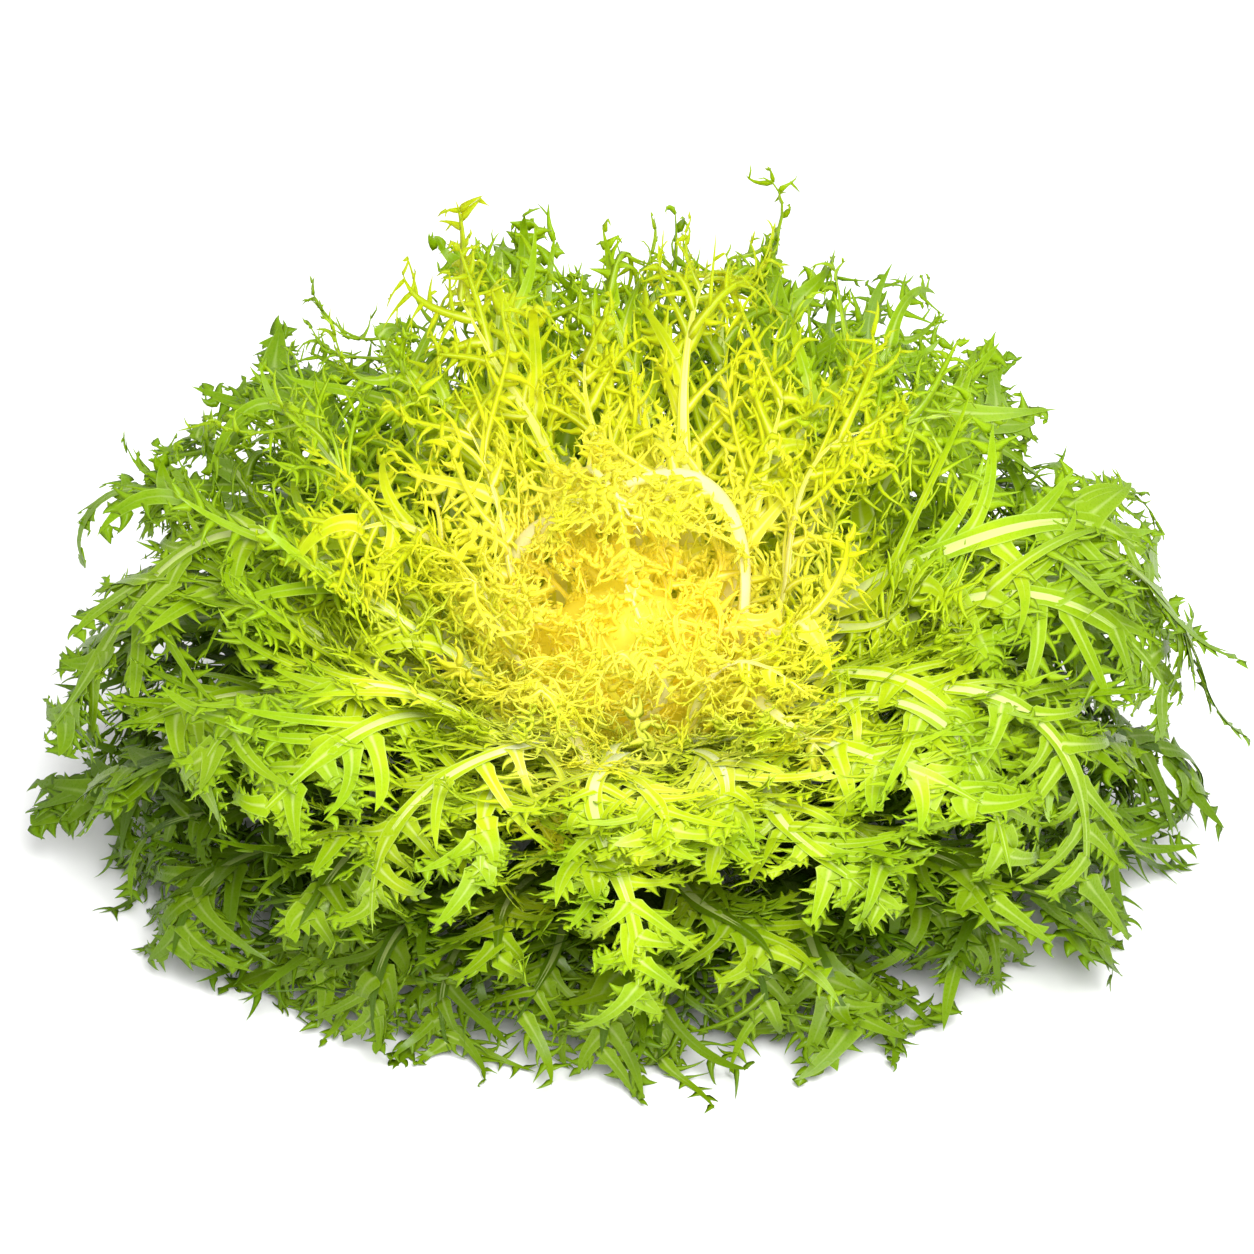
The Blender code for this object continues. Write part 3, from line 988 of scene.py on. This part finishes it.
class Tree:
    """Makes and joins shader nodes."""

    def __init__(self, owner):
        self.nodes = owner.nodes
        self.links = owner.links

    def node(self, kind, **settings):
        """A node of one kind with its settings."""
        node = self.nodes.new(kind)
        for key, value in settings.items():
            setattr(node, key, value)
        return node

    def join(self, value, socket):
        """Link an output to an input, or set the input to a plain value."""
        if isinstance(value, bpy.types.NodeSocket):
            self.links.new(value, socket)
        else:
            socket.default_value = value

    def feed(self, node, **inputs):
        """Join inputs by name, underscores for spaces."""
        for key, value in inputs.items():
            self.join(value, node.inputs[key.replace("_", " ")])
        return node

    def math(self, operation, a, b=None, clamp=False):
        """A Math node's value."""
        node = self.node("ShaderNodeMath", operation=operation, use_clamp=clamp)
        self.join(a, node.inputs[0])
        if b is not None:
            self.join(b, node.inputs[1])
        return node.outputs[0]

    def noise(self, position, scale, detail):
        """A noise's value at the position."""
        node = self.node("ShaderNodeTexNoise")
        return self.feed(node, Vector=position, Scale=scale, Detail=detail).outputs[0]

    def mix(self, factor, a, b):
        """A colour mix."""
        node = self.node("ShaderNodeMix", data_type="RGBA")
        self.join(factor, node.inputs[0])
        self.join(a, node.inputs[6])
        self.join(b, node.inputs[7])
        return node.outputs[2]

    def spread(self, value, low, high, to_low=0.0, to_high=1.0):
        """Map a value's span to another, clamped."""
        node = self.node("ShaderNodeMapRange")
        self.feed(node, Value=value, From_Min=low, From_Max=high, To_Min=to_low,
                  To_Max=to_high)
        return node.outputs[0]

    def ramp(self, value, stops):
        """A colour ramp from (place, colour) stops."""
        node = self.node("ShaderNodeValToRGB")
        self.links.new(value, node.inputs[0])
        elements = node.color_ramp.elements
        while len(elements) < len(stops):
            elements.new(0.5)
        for element, (place, colour) in zip(elements, stops):
            element.position = place
            element.color = (*colour, 1.0)
        return node.outputs[0]


def surface_group(name, marks):
    """An empty group: marks and Position in; Colour, Roughness and Height out.

    Returns the group, its tree, its input sockets and its output node.
    """
    group = bpy.data.node_groups.new(name, "ShaderNodeTree")
    for label in marks:
        group.interface.new_socket(label, in_out="INPUT", socket_type="NodeSocketFloat")
    group.interface.new_socket("Position", in_out="INPUT", socket_type="NodeSocketVector")
    group.interface.new_socket("Colour", in_out="OUTPUT", socket_type="NodeSocketColor")
    group.interface.new_socket("Roughness", in_out="OUTPUT", socket_type="NodeSocketFloat")
    group.interface.new_socket("Height", in_out="OUTPUT", socket_type="NodeSocketFloat")
    tree = Tree(group)
    inside = tree.node("NodeGroupInput")
    sockets = [inside.outputs[i] for i in range(len(marks) + 1)]
    return group, tree, sockets, tree.node("NodeGroupOutput")


def surface_material(name, group, strength, distance):
    """A material whose shader takes colour, roughness and bump from a group.

    Returns the material, its tree, its shader and the group's node.
    """
    material = bpy.data.materials.new(name)
    material.use_nodes = True
    tree = Tree(material.node_tree)
    shader = tree.nodes["Principled BSDF"]
    place = tree.node("ShaderNodeTexCoord")
    colour = tree.node("ShaderNodeGroup", node_tree=group)
    tree.links.new(place.outputs["Object"], colour.inputs["Position"])
    bump = tree.node("ShaderNodeBump")
    tree.feed(bump, Strength=strength, Distance=distance, Height=colour.outputs["Height"])
    tree.feed(shader, Base_Color=colour.outputs["Colour"], Normal=bump.outputs[0],
              Roughness=colour.outputs["Roughness"])
    return material, tree, shader, colour


def lamina_stops():
    """The lamina's colour stops from the heart to the rim, from the user's colours."""
    heart = tuple(user().heart_colour)
    return ((0.0, heart), (0.14, heart), (0.35, tuple(user().inner_colour)),
            (0.55, tuple(user().middle_colour)), (0.90, tuple(user().outer_colour)))


def leaf_colour_group():
    """Lamina, rim and rib colour by the distance from the heart, with mottling.

    Rims and ribs are paler than the lamina; the pale rims are partly painted highlight. Old and
    low leaves are dark green, partly their own colour and partly painted shade.
    """
    group, tree, sockets, result = surface_group("LeafColour",
                                                 ("Away", "Rib", "Under", "Shade"))
    away, rib, under, shade, position = sockets
    patches = tree.noise(position, PATCH_SCALE, 3.0)
    cells = tree.noise(position, CELL_SCALE, 2.0)
    drift = tree.spread(patches, *NOISE_SPAN, -PATCH_DRIFT, PATCH_DRIFT)
    place = tree.math("ADD", tree.math("DIVIDE", away, RAMP_SPAN), drift, clamp=True)
    lamina = tree.ramp(place, lamina_stops())
    lamina = tree.mix(tree.spread(cells, *NOISE_SPAN, 0.0, SPECK_SHARE), lamina,
                      SPECK_COLOUR)
    lamina = tree.mix(tree.math("MULTIPLY", under, UNDER_SHARE), lamina, UNDER_COLOUR)
    # Painted highlight, in part: the rims are mixed towards the pale rim colours.
    from_rim = tree.math("ABSOLUTE", tree.math("SUBTRACT", under, RIM))
    lamina = tree.mix(tree.spread(from_rim, 0.0, RIM_SPAN, RIM_AND_SHEEN_SHARE, 0.0), lamina,
                      tree.ramp(place, RIMS_AND_SHEEN))
    colour = tree.mix(tree.spread(rib, *VEIN_SPAN), lamina, tree.ramp(place, RIBS))
    # Painted shade, in part: old leaves' feet and low leaves are mixed towards the old, shaded
    # green.
    colour = tree.mix(tree.spread(shade, *SHADE_SPAN, 0.0, SHADE_SHARE), colour,
                      (*user().old_and_shaded_colour, 1.0))
    tree.feed(result, Colour=colour, Height=cells,
              Roughness=tree.spread(cells, *NOISE_SPAN, *LEAF_ROUGHNESS))
    return group


def leaf_material(whorl):
    """A whorl's fresh leaf, made once: a satin shader that lets light through.

    The light that passes through is mixed in by its share; a painted glow, a weak emission
    of the same colour, lights the heart's shade.
    """
    glow = GLOWS[whorl.name]
    made = bpy.data.materials.get(glow.material)
    if made:
        return made
    group = bpy.data.node_groups.get("LeafColour") or leaf_colour_group()
    material, tree, shader, colour = surface_material(glow.material, group, 0.25, 0.0002)
    for label in ("away", "rib", "under", "shade"):
        layer = tree.node("ShaderNodeAttribute", attribute_name=label)
        tree.links.new(layer.outputs["Fac"], colour.inputs[label.capitalize()])
    shader.inputs["Base Color"].default_value = (*glow.colour, 1.0)
    shader.inputs["Specular IOR Level"].default_value = LEAF_SPECULAR
    # Painted glow: an emission that brightens the heart's shade, though the leaves are no lamp.
    shader.inputs["Emission Color"].default_value = (*glow.colour, 1.0)
    shader.inputs["Emission Strength"].default_value = glow.scatter
    through = tree.node("ShaderNodeBsdfTranslucent")
    tree.feed(through, Color=(*glow.colour, 1.0))
    both = tree.node("ShaderNodeMixShader")
    both.inputs[0].default_value = glow.share
    tree.links.new(shader.outputs[0], both.inputs[1])
    tree.links.new(through.outputs[0], both.inputs[2])
    tree.links.new(both.outputs[0], tree.nodes["Material Output"].inputs[0])
    return material


def stem_colour_group():
    """Cream flesh with fine fibres, browned at the cut and most at its rim."""
    group, tree, (position,), result = surface_group("StemColour", ())
    split = tree.node("ShaderNodeSeparateXYZ")
    tree.links.new(position, split.inputs[0])
    flat = tree.node("ShaderNodeVectorMath", operation="MULTIPLY")
    tree.links.new(position, flat.inputs[0])
    flat.inputs[1].default_value = (1.0, 1.0, 0.0)
    radius = tree.node("ShaderNodeVectorMath", operation="LENGTH")
    tree.links.new(flat.outputs[0], radius.inputs[0])
    fibres = tree.noise(position, 420.0, 4.0)
    blotch = tree.noise(position, 110.0, 3.0)
    colour = tree.mix(tree.spread(fibres, *NOISE_SPAN, 0.0, 0.35),
                      (*user().stem_colour, 1.0), (0.52, 0.46, 0.20, 1.0))
    ring = tree.spread(radius.outputs["Value"], 0.5 * CUT_RADIUS, CUT_RADIUS, 0.1, 0.8)
    near_cut = tree.spread(split.outputs[2], 0.0002, 0.0030, 1.0, 0.0)
    stain = tree.spread(blotch, 0.35, 0.65, 0.4, 1.0)
    browned = tree.math("MULTIPLY", tree.math("MULTIPLY", ring, near_cut), stain)
    colour = tree.mix(browned, colour, (0.30, 0.13, 0.04, 1.0))
    tree.feed(result, Colour=colour, Height=fibres,
              Roughness=tree.spread(fibres, *NOISE_SPAN, 0.5, 0.75))
    return group


def stem_material():
    """The root stock's matt flesh."""
    material, _, shader, _ = surface_material("CutStem", stem_colour_group(), 0.3, 0.0004)
    shader.inputs["Base Color"].default_value = (0.62, 0.56, 0.30, 1.0)
    return material


# --- Stage ---

CAMERA_ELEVATION = math.radians(30.0)
CAMERA_DISTANCE = 1.15
CAMERA_LENS = 129.6
CAMERA_REACH = 20.0
AIM = Vector((0.0, 0.0246, 0.0426))
SKY_STRENGTH = 0.80
FLOOR_SIZE = 6.0
FLOOR_ROUGHNESS = 0.9
# Square lamps that face the head: place, side and power (W).
LAMPS = {
    "key": ((0.12, -0.66, 0.70), 0.45, 11.5),
    "front": ((0.10, -0.80, 0.62), 0.40, 2.0),
    "rim": ((0.6, 0.5, 1.1), 0.8, 8.0),
}


def lay_floor():
    """A plain pale floor."""
    bpy.ops.mesh.primitive_plane_add(size=FLOOR_SIZE)
    floor = bpy.context.object
    floor.name = "floor"
    paint = bpy.data.materials.new("PaleFloor")
    paint.use_nodes = True
    shader = paint.node_tree.nodes["Principled BSDF"]
    shader.inputs["Base Color"].default_value = (*user().floor_colour, 1.0)
    shader.inputs["Roughness"].default_value = FLOOR_ROUGHNESS
    floor.data.materials.append(paint)


def light_stage():
    """An even white sky and three soft square lamps."""
    scene = bpy.context.scene
    scene.view_settings.view_transform = "Standard"
    world = bpy.data.worlds.new("StudioSky")
    world.use_nodes = True
    sky = world.node_tree.nodes["Background"]
    sky.inputs[0].default_value = (1.0, 1.0, 1.0, 1.0)
    sky.inputs[1].default_value = SKY_STRENGTH
    scene.world = world
    for name, (place, side, power) in LAMPS.items():
        lamp = bpy.data.lights.new(name, "AREA")
        lamp.size = side
        lamp.energy = power
        holder = bpy.data.objects.new(name, lamp)
        holder.location = place
        holder.rotation_euler = (AIM - Vector(place)).to_track_quat("-Z", "Y").to_euler()
        scene.collection.objects.link(holder)


def place_camera():
    """The camera in front of the head, looking down at it."""
    scene = bpy.context.scene
    camera = bpy.data.cameras.new("camera")
    camera.lens = CAMERA_LENS
    camera.clip_end = CAMERA_REACH
    eye = bpy.data.objects.new("camera", camera)
    away = Vector((0.0, -math.cos(CAMERA_ELEVATION), math.sin(CAMERA_ELEVATION)))
    eye.location = AIM + CAMERA_DISTANCE * away
    eye.rotation_euler = (-away).to_track_quat("-Z", "Y").to_euler()
    scene.collection.objects.link(eye)
    scene.camera = eye


# --- Operators ---

class EndiveStem(Operator):
    """Shape the root stock with its leaf scars and browned cut"""
    bl_idname = "endive.stem"
    bl_label = "Stem"

    def execute(self, context):
        grow_stem()
        return {"FINISHED"}


class EndiveOuterLeaves(Operator):
    """Grow the outermost green leaves"""
    bl_idname = "endive.outer_leaves"
    bl_label = "Outer Leaves"

    def execute(self, context):
        grow_whorl(OUTERMOST)
        return {"FINISHED"}


class EndiveSkirtLeaves(Operator):
    """Grow the green leaves above the outermost"""
    bl_idname = "endive.skirt_leaves"
    bl_label = "Skirt Leaves"

    def execute(self, context):
        grow_whorl(1)
        return {"FINISHED"}


class EndiveMiddleLeaves(Operator):
    """Grow the light green leaves"""
    bl_idname = "endive.middle_leaves"
    bl_label = "Middle Leaves"

    def execute(self, context):
        grow_whorl(2)
        return {"FINISHED"}


class EndiveUpperLeaves(Operator):
    """Grow the yellow-green leaves"""
    bl_idname = "endive.upper_leaves"
    bl_label = "Upper Leaves"

    def execute(self, context):
        grow_whorl(3)
        return {"FINISHED"}


class EndiveInnerLeaves(Operator):
    """Grow the yellow leaves"""
    bl_idname = "endive.inner_leaves"
    bl_label = "Inner Leaves"

    def execute(self, context):
        grow_whorl(4)
        return {"FINISHED"}


class EndiveHeartLeaves(Operator):
    """Grow the leaves round the heart and the heart's own tuft"""
    bl_idname = "endive.heart_leaves"
    bl_label = "Heart Leaves"

    def execute(self, context):
        grow_whorl(HEARTMOST)
        grow_tuft()
        return {"FINISHED"}


class EndiveStage(Operator):
    """Lay the pale floor and set the soft light and the camera"""
    bl_idname = "endive.stage"
    bl_label = "Stage"

    def execute(self, context):
        lay_floor()
        light_stage()
        place_camera()
        return {"FINISHED"}


PIECES = (EndiveStem, EndiveOuterLeaves, EndiveSkirtLeaves, EndiveMiddleLeaves,
          EndiveUpperLeaves, EndiveInnerLeaves, EndiveHeartLeaves, EndiveStage)


class EndivePanel(Panel):
    """The head's operators, sizes and colours in the sidebar"""
    bl_idname = "VIEW3D_PT_endive"
    bl_label = "Curly Endive Head"
    bl_space_type = "VIEW_3D"
    bl_region_type = "UI"
    bl_category = "Endive"

    def draw(self, context):
        column = self.layout.column(align=True)
        for piece in PIECES:
            column.operator(piece.bl_idname)
        settings = self.layout.column()
        for name in EndiveHead.__annotations__:
            settings.prop(context.scene.endive_head, name)


CLASSES = (EndiveHead, *PIECES, EndivePanel)


def register():
    """Register the add-on's classes."""
    for cls in CLASSES:
        bpy.utils.register_class(cls)
    bpy.types.Scene.endive_head = PointerProperty(type=EndiveHead)


def unregister():
    """Take the add-on's classes out again."""
    del bpy.types.Scene.endive_head
    for cls in reversed(CLASSES):
        bpy.utils.unregister_class(cls)


def main():
    """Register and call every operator."""
    register()
    bpy.ops.endive.stem()
    bpy.ops.endive.outer_leaves()
    bpy.ops.endive.skirt_leaves()
    bpy.ops.endive.middle_leaves()
    bpy.ops.endive.upper_leaves()
    bpy.ops.endive.inner_leaves()
    bpy.ops.endive.heart_leaves()
    bpy.ops.endive.stage()


if __name__ == "__main__":
    main()
